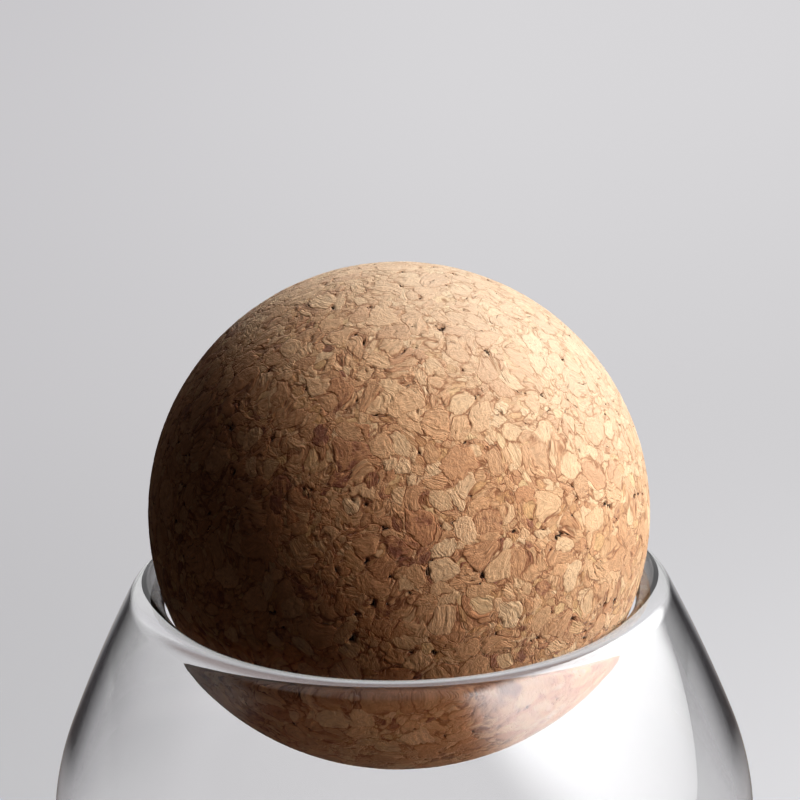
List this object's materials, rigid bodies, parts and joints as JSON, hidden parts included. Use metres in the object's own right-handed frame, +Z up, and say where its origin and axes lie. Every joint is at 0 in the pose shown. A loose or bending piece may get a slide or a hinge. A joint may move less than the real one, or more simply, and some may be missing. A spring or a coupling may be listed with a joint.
{
  "type": "glass jar with cork ball lid",
  "caption": "Round clear glass storage jar with sloping shoulders and a rounded lip, closed by a loose cork ball resting in its mouth.",
  "frame": {"origin": "middle of the jar's foot, on the surface that it stands on", "axes": "+Z up along the jar's axis, towards the cork ball; the jar is round, so +X and +Y are free, with -Y towards the viewer of the picture"},
  "size_m": [0.0928, 0.0928, 0.152],
  "materials": {
    "clear_glass": "clear, fire-polished",
    "pressed_cork": "turned and sanded pressed cork granules, matt"
  },
  "bodies": {
    "jar": {"glass_jar": "clear_glass"},
    "lid": {"cork_ball": "pressed_cork"}
  },
  "joints": [
    {"name": "lid_lift", "type": "slide", "parent": "jar", "child": "lid", "axis": [0, 0, 1], "range_m": [0, 0.06]}
  ]
}
